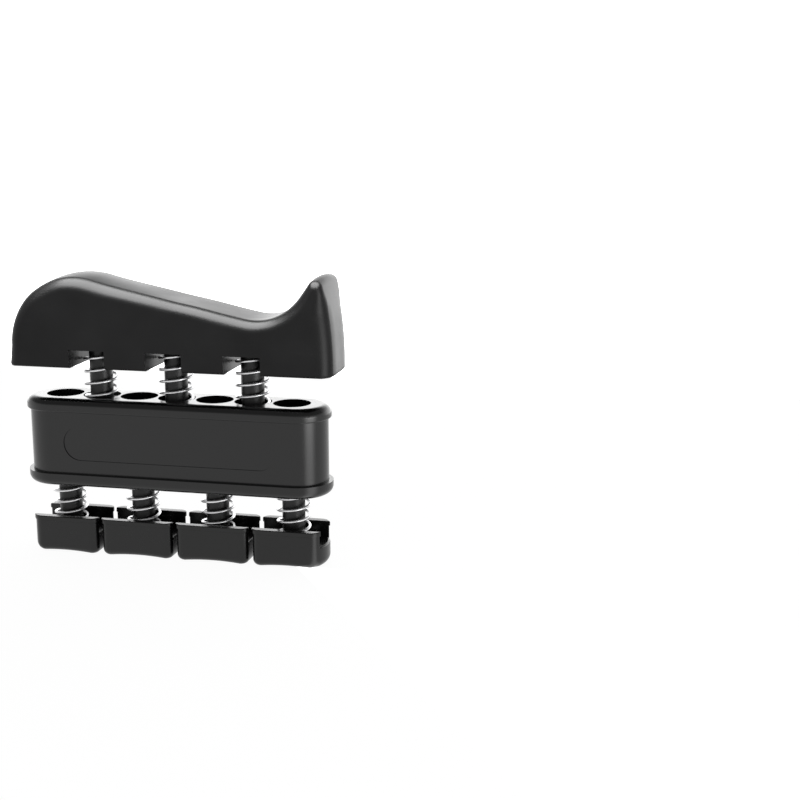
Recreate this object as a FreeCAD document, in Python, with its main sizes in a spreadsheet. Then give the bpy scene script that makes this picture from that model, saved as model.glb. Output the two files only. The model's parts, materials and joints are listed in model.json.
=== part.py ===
"""Finger exerciser: a palm rest on three sprung posts, over a body that holds four sprung finger buttons.

Millimetres. +Z is up, +X runs along the row of fingers, and -Y is the front. The origin is on the
surface that the buttons stand on, under the middle of the body. All parts are drawn at rest.
"""
import FreeCAD, Part
import math
import os

import Sketcher
from FreeCAD import Placement, Rotation, Vector

# ---------------------------------------------------------------- driving dimensions (alias, millimetres)
DIMENSIONS = [
    ("pitch", 22.0),                # between neighbouring fingers
    # levels above the table
    ("channel_floor", 6.2),         # where each finger spring stands in its button
    ("button_top", 10.6),
    ("cover_base", 20.1),
    ("body_base", 21.9),
    ("seam", 23.7),
    ("finger_web_base", 29.3),      # the web that guides a finger post
    ("finger_web_top", 33.0),
    ("palm_web_base", 33.0),        # the web that guides a palm post
    ("palm_web_top", 36.6),
    ("body_top", 44.9),
    ("palm_base", 53.75),
    ("notch_roof", 58.8),
    # palm rest outline, seen from the front
    ("palm_left", 45.5),
    ("palm_right", 46.5),
    ("palm_half_depth", 9.5),
    ("dome_radius", 20.3),
    ("dome_centre_height", 58.7),
    ("dome_end", 20.0),             # left of the middle
    ("sweep_radius", 554.0),
    ("valley_start", 22.3),        # right of the middle
    ("valley_radius", 14.7),
    ("rise_angle", 55.0),           # degrees
    ("horn_radius", 2.2),
    ("horn_centre_height", 77.8),
    ("end_radius", 95.0),
    ("palm_rounding", 2.0),
    ("palm_base_rounding", 0.7),
    ("notch_width", 10.3),
    ("socket_depth", 5.5),
    # body and cover
    ("wall_half_length", 42.9),
    ("wall_half_depth", 8.15),
    ("rim_overhang", 0.88),
    ("rim_height", 3.7),
    ("rim_shoulder", 2.3),
    ("rim_underside", 0.5),
    ("cover_overhang", 1.2),
    ("cover_gap", 0.05),
    ("cover_rounding", 2.2),
    ("panel_length", 61.0),
    ("panel_height", 9.6),
    ("panel_centre_height", 32.4),
    ("panel_relief", 0.25),
    # posts, springs and their fasteners
    ("bore_radius", 5.15),
    ("post_radius", 3.15),
    ("post_clearance", 0.05),
    ("post_chamfer", 0.4),
    ("stop_gap", 0.05),
    ("button_socket_depth", 4.2),
    ("pilot_radius", 1.1),
    ("pilot_depth", 9.0),
    ("wire_radius", 0.4),
    ("coil_radius", 4.4),
    ("coil_pitch", 3.2),
    ("spring_gap", 0.02),
    ("washer_radius", 4.4),
    ("washer_bore", 1.3),
    ("washer_thickness", 0.8),
    ("head_radius", 2.3),
    ("head_height", 1.8),
    ("head_rounding", 0.6),
    ("screw_length", 8.0),
    ("recess_length", 2.6),
    ("recess_width", 0.7),
    ("recess_depth", 0.9),
    # finger buttons
    ("button_length", 21.2),
    ("button_half_depth", 7.1),
    ("nose_reach", 10.2),            # outer end of an end button, from its post
    ("nose_radius", 10.4),
    ("nose_corner", 2.9),
    ("button_corner", 1.5),
    ("button_rounding", 1.4),
    ("channel_half_width", 5.0),
    ("groove_depth", 0.35),
    ("groove_radius", 70.0),
]

FINGERS = (1, 2, 3, 4)
PALM_POSTS = (1, 2, 3)

os.makedirs("parts", exist_ok=True)
doc = FreeCAD.newDocument("finger_exerciser")
sheet = doc.addObject("Spreadsheet::Sheet", "Sizes")
for row, (alias, value) in enumerate(DIMENSIONS, start=1):
    sheet.set("A%d" % row, alias)
    sheet.set("B%d" % row, str(value))
    sheet.setAlias("B%d" % row, alias)
doc.recompute()

working = doc.addObject("Spreadsheet::Sheet", "Working")

ALIASES = [alias for alias, _ in DIMENSIONS]
subparts = []


# ---------------------------------------------------------------- helpers
def size(name):
    """A driving dimension's number."""
    return float(sheet.get(name))


def cells(expression):
    """The same expression with every alias pointing at the sheet."""
    words = []
    for word in expression.replace("(", " ( ").replace(")", " ) ").split():
        words.append("Sizes." + word if word in ALIASES else word)
    return " ".join(words)


def number(expression):
    """What an expression is worth now, worked out in a spare sheet that nothing depends on."""
    working.set("A1", "=" + cells(expression))
    working.recompute()
    return float(working.get("A1"))


def new_body(label):
    """A sub-part's body, whose label names its file."""
    body = doc.addObject("PartDesign::Body", "Body_" + label)
    body.Label = label
    subparts.append(body)
    return body


def plane(body, role):
    """One of the body's own origin planes."""
    return [f for f in body.Origin.OriginFeatures if f.Role == role][0]


def new_sketch(body, name, role="XY_Plane", offset="0"):
    """A sketch on an origin plane of its body, moved along the plane's normal."""
    sketch = body.newObject("Sketcher::SketchObject", name)
    sketch.AttachmentSupport = (plane(body, role), [""])
    sketch.MapMode = "FlatFace"
    sketch.AttachmentOffset = Placement(Vector(0, 0, number(offset)), Rotation())
    if offset != "0":
        sketch.setExpression("AttachmentOffset.Base.z", cells(offset))
    return sketch


def pin_point(sketch, geometry, point, x, y):
    """Holds a sketch point at two expressions, from the sketch's origin."""
    for axis, kind, expression in ((-2, "DistanceX", x), (-1, "DistanceY", y)):
        if expression == "0":
            sketch.addConstraint(Sketcher.Constraint("PointOnObject", geometry, point, axis))
            continue
        index = sketch.addConstraint(
            Sketcher.Constraint(kind, -1, 1, geometry, point, number(expression))
        )
        sketch.setExpression("Constraints[%d]" % index, cells(expression))


def fix_radius(sketch, geometry, expression):
    """Holds an arc's or circle's radius at an expression."""
    index = sketch.addConstraint(Sketcher.Constraint("Radius", geometry, number(expression)))
    sketch.setExpression("Constraints[%d]" % index, cells(expression))


def polygon(sketch, corners):
    """A closed outline of straight sides, each corner held at two expressions."""
    points = [Vector(number(x), number(y), 0) for x, y in corners]
    first = sketch.GeometryCount
    count = len(points)
    for i in range(count):
        sketch.addGeometry(Part.LineSegment(points[i], points[(i + 1) % count]), False)
    for i in range(count):
        following = first + (i + 1) % count
        sketch.addConstraint(Sketcher.Constraint("Coincident", first + i, 2, following, 1))
        pin_point(sketch, first + i, 1, corners[i][0], corners[i][1])


def circle(sketch, x, y, radius):
    """A circle held at its centre and radius."""
    centre = Vector(number(x), number(y), 0)
    index = sketch.addGeometry(Part.Circle(centre, Vector(0, 0, 1), number(radius)), False)
    pin_point(sketch, index, 3, x, y)
    fix_radius(sketch, index, radius)


def stadium(sketch, half_length, radius, y="0"):
    """A slot outline: two half circles joined by straight sides."""
    reach = number(half_length) - number(radius)
    rise = number(radius)
    middle = number(y)
    up = Vector(0, 0, 1)
    quarter = math.pi / 2
    first = sketch.GeometryCount
    right_circle = Part.Circle(Vector(reach, middle, 0), up, rise)
    left_circle = Part.Circle(Vector(-reach, middle, 0), up, rise)
    sketch.addGeometry(Part.ArcOfCircle(right_circle, -quarter, quarter), False)
    sketch.addGeometry(
        Part.LineSegment(Vector(reach, middle + rise, 0), Vector(-reach, middle + rise, 0)), False
    )
    sketch.addGeometry(Part.ArcOfCircle(left_circle, quarter, 3 * quarter), False)
    sketch.addGeometry(
        Part.LineSegment(Vector(-reach, middle - rise, 0), Vector(reach, middle - rise, 0)), False
    )
    for i in range(4):
        following = first + (i + 1) % 4
        sketch.addConstraint(Sketcher.Constraint("Tangent", first + i, 2, following, 1))
    pin_point(sketch, first, 3, "%s - ( %s )" % (half_length, radius), y)
    pin_point(sketch, first + 2, 3, "( %s ) - ( %s )" % (radius, half_length), y)
    fix_radius(sketch, first, radius)


def pad(body, sketch, length, name, reverse=False, midplane=False):
    """Adds material over a sketch."""
    feature = body.newObject("PartDesign::Pad", name)
    feature.Profile = sketch
    feature.Length = number(length)
    feature.setExpression("Length", cells(length))
    feature.Midplane = midplane
    feature.Reversed = reverse
    doc.recompute()
    return feature


def pocket(body, sketch, length, name, reverse=False, midplane=False):
    """Removes material over a sketch, and makes sure that some was removed."""
    before = body.Shape.Volume
    feature = body.newObject("PartDesign::Pocket", name)
    feature.Profile = sketch
    feature.Length = number(length)
    feature.setExpression("Length", cells(length))
    feature.Midplane = midplane
    feature.Reversed = reverse
    doc.recompute()
    if body.Shape.Volume > before - 1e-3:
        raise RuntimeError("%s removed nothing" % name)
    return feature


def fillet(body, radius, name, chosen):
    """Rounds the edges of the body's tip that a test picks."""
    tip = body.Tip
    names = [
        "Edge%d" % (i + 1) for i, edge in enumerate(tip.Shape.Edges) if chosen(edge)
    ]
    if not names:
        raise RuntimeError("%s found no edge" % name)
    feature = body.newObject("PartDesign::Fillet", name)
    feature.Base = (tip, names)
    feature.Radius = number(radius)
    feature.setExpression("Radius", cells(radius))
    doc.recompute()
    return feature


def near(a, b):
    return abs(a - b) < 1e-4


def is_level(edge, height):
    """An edge that lies at one height."""
    box = edge.BoundBox
    return near(box.ZMin, height) and near(box.ZMax, height)


def is_upright(edge):
    """A straight vertical edge."""
    box = edge.BoundBox
    return box.ZLength > 1e-3 and box.XLength < 1e-4 and box.YLength < 1e-4


def revolve(body, name, corners):
    """A turned solid about the body's Z axis, from a half outline of (radius, height) corners."""
    sketch = new_sketch(body, name + "_outline", "XZ_Plane")
    polygon(sketch, corners)
    feature = body.newObject("PartDesign::Revolution", name)
    feature.Profile = sketch
    feature.ReferenceAxis = (sketch, ["V_Axis"])
    feature.Angle = 360.0
    doc.recompute()
    return feature


def place(body, x):
    """Moves a sub-part along the row of fingers."""
    body.Placement = Placement(Vector(number(x), 0, 0), Rotation())
    body.setExpression("Placement.Base.x", cells(x))


def finger_x(finger):
    """Where a finger's post stands, counted from the middle of the row."""
    return "pitch * %s" % (finger - 2.5)


def palm_x(post):
    """Where a palm post stands."""
    return "pitch * %s" % (post - 2.0)


# ---------------------------------------------------------------- palm rest
def palm_outline(body):
    """The palm rest seen from the front: a dome, a long hollow sweep, a valley and a horn."""
    left = -size("palm_left")
    right = size("palm_right")
    base = size("palm_base")
    dome_r = size("dome_radius")
    sweep_r = size("sweep_radius")
    valley_r = size("valley_radius")
    horn_r = size("horn_radius")
    end_r = size("end_radius")
    rise = math.radians(size("rise_angle"))
    dome_x = left + dome_r
    dome_z = size("dome_centre_height")
    # Direction of the outward normal at each joint, as an angle from +X.
    fall = math.acos((-size("dome_end") - dome_x) / dome_r)
    joint_1 = Vector(dome_x + dome_r * math.cos(fall), dome_z + dome_r * math.sin(fall), 0)
    sweep_c = Vector(joint_1.x + sweep_r * math.cos(fall), joint_1.y + sweep_r * math.sin(fall), 0)
    drop = math.acos((sweep_c.x - size("valley_start")) / sweep_r)
    joint_2 = Vector(sweep_c.x - sweep_r * math.cos(drop), sweep_c.y - sweep_r * math.sin(drop), 0)
    valley_c = Vector(
        joint_2.x + valley_r * math.cos(drop), joint_2.y + valley_r * math.sin(drop), 0
    )
    climb = math.pi / 2 + rise
    joint_3 = Vector(
        valley_c.x - valley_r * math.cos(climb), valley_c.y - valley_r * math.sin(climb), 0
    )
    horn_z = size("horn_centre_height")
    joint_4_z = horn_z + horn_r * math.sin(climb)
    run = (joint_4_z - joint_3.y) / math.sin(rise)
    joint_4 = Vector(joint_3.x + run * math.cos(rise), joint_4_z, 0)
    horn_c = Vector(joint_4.x - horn_r * math.cos(climb), horn_z, 0)
    end_x = right - end_r
    lean = math.acos((horn_c.x - end_x) / (end_r - horn_r))
    end_c = Vector(end_x, horn_z - (end_r - horn_r) * math.sin(lean), 0)
    joint_5 = Vector(
        horn_c.x + horn_r * math.cos(lean), horn_c.y + horn_r * math.sin(lean), 0
    )

    sketch = new_sketch(body, "palm_outline", "XZ_Plane")
    up = Vector(0, 0, 1)

    def arc(centre, radius, low, high):
        return Part.ArcOfCircle(Part.Circle(centre, up, radius), low, high)

    half = math.pi
    geometry = [
        Part.LineSegment(Vector(left, base, 0), Vector(left, dome_z, 0)),
        arc(Vector(dome_x, dome_z, 0), dome_r, fall, half),
        arc(sweep_c, sweep_r, half + fall, half + drop),
        arc(valley_c, valley_r, half + drop, half + climb),
        Part.LineSegment(joint_3, joint_4),
        arc(horn_c, horn_r, lean, climb),
        arc(end_c, end_r, 0, lean),
        Part.LineSegment(Vector(right, end_c.y, 0), Vector(right, base, 0)),
        Part.LineSegment(Vector(right, base, 0), Vector(left, base, 0)),
    ]
    side, dome, sweep, valley, slope, horn, end, wall, floor = range(9)
    sketch.addGeometry(geometry, False)
    start, finish, centre = 1, 2, 3
    # Arcs run anticlockwise, so a convex one is entered at its finish and a hollow one at its start.
    joints = [
        (side, finish, dome, finish),
        (dome, start, sweep, start),
        (sweep, finish, valley, start),
        (valley, finish, slope, start),
        (slope, finish, horn, finish),
        (horn, start, end, finish),
        (end, start, wall, start),
    ]
    for joint in joints:
        sketch.addConstraint(Sketcher.Constraint("Tangent", *joint))
    sketch.addConstraint(Sketcher.Constraint("Coincident", wall, finish, floor, start))
    sketch.addConstraint(Sketcher.Constraint("Coincident", floor, finish, side, start))
    sketch.addConstraint(Sketcher.Constraint("Vertical", side))
    sketch.addConstraint(Sketcher.Constraint("Vertical", wall))
    pin_point(sketch, side, start, "0 - palm_left", "palm_base")
    pin_point(sketch, wall, finish, "palm_right", "palm_base")
    for index, radius in (
        (dome, "dome_radius"),
        (sweep, "sweep_radius"),
        (valley, "valley_radius"),
        (horn, "horn_radius"),
        (end, "end_radius"),
    ):
        fix_radius(sketch, index, radius)

    def hold(kind, geometry_index, point, expression):
        index = sketch.addConstraint(
            Sketcher.Constraint(kind, -1, 1, geometry_index, point, number(expression))
        )
        sketch.setExpression("Constraints[%d]" % index, cells(expression))

    hold("DistanceY", dome, centre, "dome_centre_height")
    hold("DistanceX", dome, start, "0 - dome_end")
    hold("DistanceX", sweep, finish, "valley_start")
    hold("DistanceY", horn, centre, "horn_centre_height")
    index = sketch.addConstraint(Sketcher.Constraint("Angle", slope, rise))
    sketch.setExpression("Constraints[%d]" % index, "Sizes.rise_angle * 1 deg")
    return sketch


def build_palm_rest():
    """The rest for the heel of the hand, with three notches that the springs stand up into."""
    body = new_body("palm_rest")
    pad(body, palm_outline(body), "palm_half_depth * 2", "palm_block", midplane=True)
    depth = size("palm_half_depth")
    base = size("palm_base")

    def is_outline(edge):
        box = edge.BoundBox
        return near(box.YMin, box.YMax) and near(abs(box.YMin), depth) and not is_level(edge, base)

    fillet(body, "palm_rounding", "palm_edges", is_outline)
    fillet(body, "palm_base_rounding", "palm_base_edges", lambda edge: is_level(edge, base))
    notches = new_sketch(body, "notches", "XZ_Plane")
    for post in PALM_POSTS:
        low = "%s - notch_width / 2" % palm_x(post)
        high = "%s + notch_width / 2" % palm_x(post)
        polygon(
            notches,
            [(low, "palm_base - 1"), (high, "palm_base - 1"), (high, "notch_roof"), (low, "notch_roof")],
        )
    pocket(body, notches, "palm_half_depth * 2 + 2", "notch_cut", midplane=True)
    sockets = new_sketch(body, "sockets", "XY_Plane", "notch_roof")
    for post in PALM_POSTS:
        circle(sockets, palm_x(post), "0", "post_radius")
    pocket(body, sockets, "socket_depth", "socket_cut", reverse=True)


def build_palm_post(post):
    """A post pressed up into the palm rest, with a pilot hole in its lower end."""
    body = new_body("palm_post_%d" % post)
    low = "palm_web_base - stop_gap"
    revolve(
        body,
        "palm_post_turning",
        [
            ("pilot_radius", low),
            ("post_radius - post_chamfer", low),
            ("post_radius", low + " + post_chamfer"),
            ("post_radius", "notch_roof + socket_depth - post_chamfer"),
            ("post_radius - post_chamfer", "notch_roof + socket_depth"),
            ("0", "notch_roof + socket_depth"),
            ("0", low + " + pilot_depth"),
            ("pilot_radius", low + " + pilot_depth"),
        ],
    )
    place(body, palm_x(post))


# ---------------------------------------------------------------- body
def bores(body, name, places, start, depth, radius, reverse=False):
    """A row of round holes."""
    sketch = new_sketch(body, name + "_circles", "XY_Plane", start)
    for x in places:
        circle(sketch, x, "0", radius)
    pocket(body, sketch, depth, name, reverse=reverse)


def build_body_shell():
    """The moulded body: a rounded bar with a beaded rim, and a stepped bore for each post."""
    body = new_body("body_shell")
    outline = new_sketch(body, "wall_outline", "XY_Plane", "body_base")
    stadium(outline, "wall_half_length", "wall_half_depth")
    pad(body, outline, "body_top - body_base", "wall")
    rim = new_sketch(body, "rim_outline", "XY_Plane", "body_top - rim_height")
    stadium(rim, "wall_half_length + rim_overhang", "wall_half_depth + rim_overhang")
    pad(body, rim, "rim_height", "rim")
    top = size("body_top")
    under = top - size("rim_height")
    rim_depth = size("wall_half_depth") + size("rim_overhang")
    fillet(body, "rim_shoulder", "shoulder", lambda edge: is_level(edge, top))

    def is_rim_underside(edge):
        if not is_level(edge, under):
            return False
        return near(max(abs(edge.BoundBox.YMin), abs(edge.BoundBox.YMax)), rim_depth)

    fillet(body, "rim_underside", "rim_lower_edge", is_rim_underside)
    panel = new_sketch(body, "panel_outline", "XZ_Plane", "wall_half_depth")
    stadium(panel, "panel_length / 2", "panel_height / 2", "panel_centre_height")
    pocket(body, panel, "panel_relief", "panel")
    if body.Shape.Solids[0].CenterOfMass.y < 1e-4:
        raise RuntimeError("the sunken panel isn't in the front")
    fingers = [finger_x(finger) for finger in FINGERS]
    palms = [palm_x(post) for post in PALM_POSTS]
    bores(body, "finger_wells", fingers, "body_top", "body_top - finger_web_top", "bore_radius")
    bores(body, "palm_wells", palms, "body_top", "body_top - palm_web_top", "bore_radius")
    bores(
        body, "finger_spring_wells", fingers, "body_base",
        "finger_web_base - body_base", "bore_radius", reverse=True,
    )
    bores(
        body, "palm_stop_wells", palms, "body_base",
        "palm_web_base - body_base", "bore_radius", reverse=True,
    )
    bores(
        body, "guides", fingers + palms, "body_top",
        "body_top - body_base", "post_radius + post_clearance",
    )


def build_bottom_cover():
    """A shallow tray pushed over the foot of the body, with a hole for each finger spring."""
    body = new_body("bottom_cover")
    outline = new_sketch(body, "cover_outline", "XY_Plane", "cover_base")
    stadium(outline, "wall_half_length + cover_overhang", "wall_half_depth + cover_overhang")
    pad(body, outline, "seam - cover_base", "cover_block")
    base = size("cover_base")
    fillet(body, "cover_rounding", "cover_edge", lambda edge: is_level(edge, base))
    inside = new_sketch(body, "cover_inside", "XY_Plane", "body_base")
    stadium(inside, "wall_half_length + cover_gap", "wall_half_depth + cover_gap")
    pocket(body, inside, "seam - body_base + 1", "cover_hollow", reverse=True)
    fingers = [finger_x(finger) for finger in FINGERS]
    bores(body, "cover_holes", fingers, "body_base", "body_base - cover_base", "bore_radius")


# ---------------------------------------------------------------- finger buttons
def button_outline(sketch, low, high, half_width, nose_x=None, nose_radius=None):
    """A button's outline from above: four sides, or three and a bowed outer end."""
    if nose_radius is None:
        polygon(
            sketch,
            [(low, "0 - " + half_width), (high, "0 - " + half_width), (high, half_width), (low, half_width)],
        )
        return
    radius = number(nose_radius)
    centre_x = number(nose_x)
    half = number(half_width)
    reach = math.sqrt(radius * radius - half * half)
    swing = math.asin(half / radius)
    corner_x = centre_x + reach
    low_x = number(low)
    bow = Part.ArcOfCircle(Part.Circle(Vector(centre_x, 0, 0), Vector(0, 0, 1), radius), -swing, swing)
    sketch.addGeometry(
        [
            Part.LineSegment(Vector(low_x, -half, 0), Vector(corner_x, -half, 0)),
            bow,
            Part.LineSegment(Vector(corner_x, half, 0), Vector(low_x, half, 0)),
            Part.LineSegment(Vector(low_x, half, 0), Vector(low_x, -half, 0)),
        ],
        False,
    )
    for i in range(4):
        sketch.addConstraint(Sketcher.Constraint("Coincident", i, 2, (i + 1) % 4, 1))
    sketch.addConstraint(Sketcher.Constraint("Horizontal", 0))
    sketch.addConstraint(Sketcher.Constraint("Horizontal", 2))
    pin_point(sketch, 3, 1, low, half_width)
    pin_point(sketch, 3, 2, low, "0 - " + half_width)
    pin_point(sketch, 1, 3, nose_x, "0")
    fix_radius(sketch, 1, nose_radius)


def build_finger_button(finger):
    """A block for one finger: a foot, and two flanges with an open channel between them.

    The two end buttons have a bowed outer end. They are drawn with it towards +X, and the left one
    is turned half round.
    """
    body = new_body("finger_button_%d" % finger)
    at_end = finger in (FINGERS[0], FINGERS[-1])
    low = "0 - button_length / 2"
    high = "button_length / 2"
    nose_x = "nose_reach - nose_radius" if at_end else None
    nose_radius = "nose_radius" if at_end else None
    outline = new_sketch(body, "button_outline", "XY_Plane")
    button_outline(outline, low, high, "button_half_depth", nose_x, nose_radius)
    pad(body, outline, "button_top", "block")
    if at_end:
        fillet(
            body, "nose_corner", "nose_corners",
            lambda edge: is_upright(edge) and edge.BoundBox.XMin > 0,
        )
        fillet(
            body, "button_corner", "inner_corners",
            lambda edge: is_upright(edge) and near(edge.BoundBox.XMin, number(low)),
        )
    else:
        fillet(body, "button_corner", "corners", is_upright)
    fillet(body, "button_rounding", "underside_edge", lambda edge: is_level(edge, 0.0))
    groove = new_sketch(body, "groove_circle", "XZ_Plane")
    circle(groove, "0", "groove_depth - groove_radius", "groove_radius")
    pocket(body, groove, "button_half_depth * 2 + 2", "finger_groove", midplane=True)
    channel = new_sketch(body, "channel_outline", "XY_Plane", "channel_floor")
    button_outline(channel, low + " - 1", high + " + 1", "channel_half_width")
    pocket(body, channel, "button_top - channel_floor + 1", "channel", reverse=True)
    socket = new_sketch(body, "socket_circle", "XY_Plane", "channel_floor")
    circle(socket, "0", "0", "post_radius")
    pocket(body, socket, "button_socket_depth", "socket")
    place(body, finger_x(finger))
    if finger == FINGERS[0]:
        body.Placement = Placement(body.Placement.Base, Rotation(Vector(0, 0, 1), 180))


def build_finger_post(finger):
    """A post pressed down into its button, with a pilot hole in its upper end."""
    body = new_body("finger_post_%d" % finger)
    foot = "channel_floor - button_socket_depth"
    top = "finger_web_top + stop_gap"
    revolve(
        body,
        "finger_post_turning",
        [
            ("0", foot),
            ("post_radius - post_chamfer", foot),
            ("post_radius", foot + " + post_chamfer"),
            ("post_radius", top + " - post_chamfer"),
            ("post_radius - post_chamfer", top),
            ("pilot_radius", top),
            ("pilot_radius", top + " - pilot_depth"),
            ("0", top + " - pilot_depth"),
        ],
    )
    place(body, finger_x(finger))


# ---------------------------------------------------------------- springs
def build_spring(label, low, high, x):
    """A compression spring round its post, between two seats."""
    body = new_body(label)
    wire = new_sketch(body, "wire_circle", "XZ_Plane")
    circle(wire, "coil_radius", low + " + wire_radius + spring_gap", "wire_radius")
    coil = body.newObject("PartDesign::AdditiveHelix", "coil")
    coil.Profile = wire
    coil.ReferenceAxis = (wire, ["V_Axis"])
    coil.Mode = 0
    height = "%s - ( %s ) - wire_radius * 2 - spring_gap * 2" % (high, low)
    coil.Pitch = number("coil_pitch")
    coil.Height = number(height)
    coil.setExpression("Pitch", cells("coil_pitch"))
    coil.setExpression("Height", cells(height))
    place(body, x)
    doc.recompute()


# ---------------------------------------------------------------- washers and screws
def washer_solid(low):
    """A flat washer with its lower face at a height."""
    outer = Part.makeCylinder(size("washer_radius"), size("washer_thickness"), Vector(0, 0, low))
    inner = Part.makeCylinder(size("washer_bore"), size("washer_thickness"), Vector(0, 0, low))
    return outer.cut(inner)


def screw_solid():
    """A pan-head screw, head up, with the underside of its head at the origin."""
    head_r = size("head_radius")
    head_h = size("head_height")
    head = Part.makeCylinder(head_r, head_h)
    crown = [edge for edge in head.Edges if is_level(edge, head_h)]
    head = head.makeFillet(size("head_rounding"), crown)
    length = size("recess_length")
    width = size("recess_width")
    depth = size("recess_depth")
    for wide, deep in ((length, width), (width, length)):
        corner = Vector(-wide / 2, -deep / 2, head_h - depth)
        head = head.cut(Part.makeBox(wide, deep, depth + 1, corner))
    shank = Part.makeCylinder(size("pilot_radius"), size("screw_length"), Vector(0, 0, -size("screw_length")))
    point = shank.Edges
    point = [edge for edge in point if is_level(edge, -size("screw_length"))]
    shank = shank.makeChamfer(size("post_chamfer"), point)
    return head.fuse(shank).removeSplitter()


def group_feature(label, solids, x="0"):
    """A sub-part made of finished solids. It is placed after its shape is set."""
    feature = doc.addObject("Part::Feature", "Group_" + label)
    feature.Label = label
    feature.Shape = Part.makeCompound(solids)
    feature.Placement = Placement(Vector(number(x), 0, 0), Rotation())
    subparts.append(feature)


def moved(shape, offset, rotation=Rotation()):
    """A copy of a solid at another place."""
    copy = shape.copy()
    copy.Placement = Placement(offset, rotation).multiply(copy.Placement)
    return copy


def build_fasteners():
    """The washer and screw that hold each post against its web.

    The palm posts' fasteners hang head down below their webs. They are alike and move together, so
    they share a node. Each finger has its own.
    """
    screw = screw_solid()
    palm_low = size("palm_web_base") - size("stop_gap") - size("washer_thickness")
    over = Rotation(Vector(1, 0, 0), 180)
    places = [number(palm_x(post)) for post in PALM_POSTS]
    washer = washer_solid(palm_low)
    group_feature("palm_washers", [moved(washer, Vector(x, 0, 0)) for x in places])
    group_feature("palm_screws", [moved(screw, Vector(x, 0, palm_low), over) for x in places])
    finger_low = size("finger_web_top") + size("stop_gap")
    for finger in FINGERS:
        group_feature("finger_washer_%d" % finger, [washer_solid(finger_low)], finger_x(finger))
        seated = moved(screw, Vector(0, 0, finger_low + size("washer_thickness")))
        group_feature("finger_screw_%d" % finger, [seated], finger_x(finger))


# ---------------------------------------------------------------- build, check and export
def check_objects():
    """Stops if any object failed, or any sub-part has no valid shape."""
    for item in doc.Objects:
        if "Invalid" in item.State or "Error" in item.State:
            raise RuntimeError("%s is in state %s" % (item.Name, item.State))
    for item in subparts:
        if item.Shape.isNull() or not item.Shape.isValid() or not item.Shape.Solids:
            raise RuntimeError("%s has no valid shape" % item.Label)


def main():
    build_palm_rest()
    for post in PALM_POSTS:
        build_palm_post(post)
        build_spring("palm_spring_%d" % post, "palm_web_top", "notch_roof", palm_x(post))
    build_body_shell()
    build_bottom_cover()
    for finger in FINGERS:
        build_finger_button(finger)
        build_finger_post(finger)
        build_spring("finger_spring_%d" % finger, "channel_floor", "finger_web_base", finger_x(finger))
    build_fasteners()
    doc.recompute()
    check_objects()
    doc.removeObject(working.Name)
    for item in subparts:
        item.Shape.exportStep("parts/%s.step" % item.Label)
        print("%-18s %9.2f mm3  solids %d" % (item.Label, item.Shape.Volume, len(item.Shape.Solids)))


main()
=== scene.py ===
"""The finger exerciser's looks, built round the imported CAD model. Metres, in the CAD frame."""
import json
import math

import bmesh
import bpy
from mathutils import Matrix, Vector


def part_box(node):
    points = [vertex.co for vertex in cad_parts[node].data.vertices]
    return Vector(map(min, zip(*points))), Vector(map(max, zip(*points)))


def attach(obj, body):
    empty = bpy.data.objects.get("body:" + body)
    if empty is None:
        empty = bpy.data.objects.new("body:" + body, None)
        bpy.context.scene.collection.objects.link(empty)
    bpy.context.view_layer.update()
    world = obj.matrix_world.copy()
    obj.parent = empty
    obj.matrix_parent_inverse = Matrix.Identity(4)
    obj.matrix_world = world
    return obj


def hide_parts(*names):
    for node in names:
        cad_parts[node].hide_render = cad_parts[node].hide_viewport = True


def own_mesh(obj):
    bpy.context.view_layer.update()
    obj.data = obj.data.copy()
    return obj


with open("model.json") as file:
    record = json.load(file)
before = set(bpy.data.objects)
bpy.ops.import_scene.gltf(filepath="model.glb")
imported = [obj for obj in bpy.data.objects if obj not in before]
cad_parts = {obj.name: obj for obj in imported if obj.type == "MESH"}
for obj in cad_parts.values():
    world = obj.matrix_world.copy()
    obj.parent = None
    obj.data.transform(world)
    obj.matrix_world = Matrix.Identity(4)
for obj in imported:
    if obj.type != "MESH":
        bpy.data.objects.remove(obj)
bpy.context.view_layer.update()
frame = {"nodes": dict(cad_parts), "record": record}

MM = 0.001
FINGERS = (1, 2, 3, 4)
PALM_POSTS = (1, 2, 3)

# ---------------------------------------------------------------- sizes, in millimetres
TOP_FILLET = 3.2           # round the palm rest's top
END_FILLET = 4.5           # down its right end
HORN_FILLET = 2.1          # at the horn, where there is less room
HORN_REACH = 8.0           # how far from the horn the fillet takes to grow back
HORN_CROWN = 0.9           # how much lower the horn is at its front and back than in the middle
HORN_BLEND = 6.0           # below the horn's centre, over which that crown fades out
PALM_BASE_FILLET = 0.8     # round the palm rest's underside
SMALLEST_FILLET = 0.06     # what is left of that one where the sides draw in
LEFT_LEAN = 0.64           # of the left end's foot, past the dome
DOME_RADIUS = 19.68
DOME_RISE = 5.58           # the dome's centre, above the palm rest's base
DOME_FALL = 74.87          # degrees: the outward normal where the dome meets the sweep
SWEEP_RADIUS = 553.8
SWEEP_FALL = 79.38         # degrees: the outward normal where the sweep meets the valley
VALLEY_RADIUS = 14.68
HORN_RISE = 55.75          # degrees: the slope up to the horn
HORN_RADIUS = 2.14
HORN_CENTRE_RISE = 24.1    # the horn's centre, above the palm rest's base
END_RADIUS = 95.0
# Gentle swells and hollows of the top, where the dome runs into the sweep and half way along it:
# each one's x, its reach and its height.
SWELLS = ((-24.0, 10.0, 0.36), (-21.0, 8.0, -0.54), (3.0, 5.0, -0.2), (6.0, 9.0, 0.26))
NOTCH_WIDTH = 10.3
NOTCH_HEIGHT = 5.05
NOTCH_EDGE = 0.2

WIRE_RADIUS = 0.4
WIRE_END = 0.82            # the cut ends' share of the wire's radius
COIL_RADIUS = 4.4
CLOSED_PITCH = 0.84        # of the closed turns at a spring's ends
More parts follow.
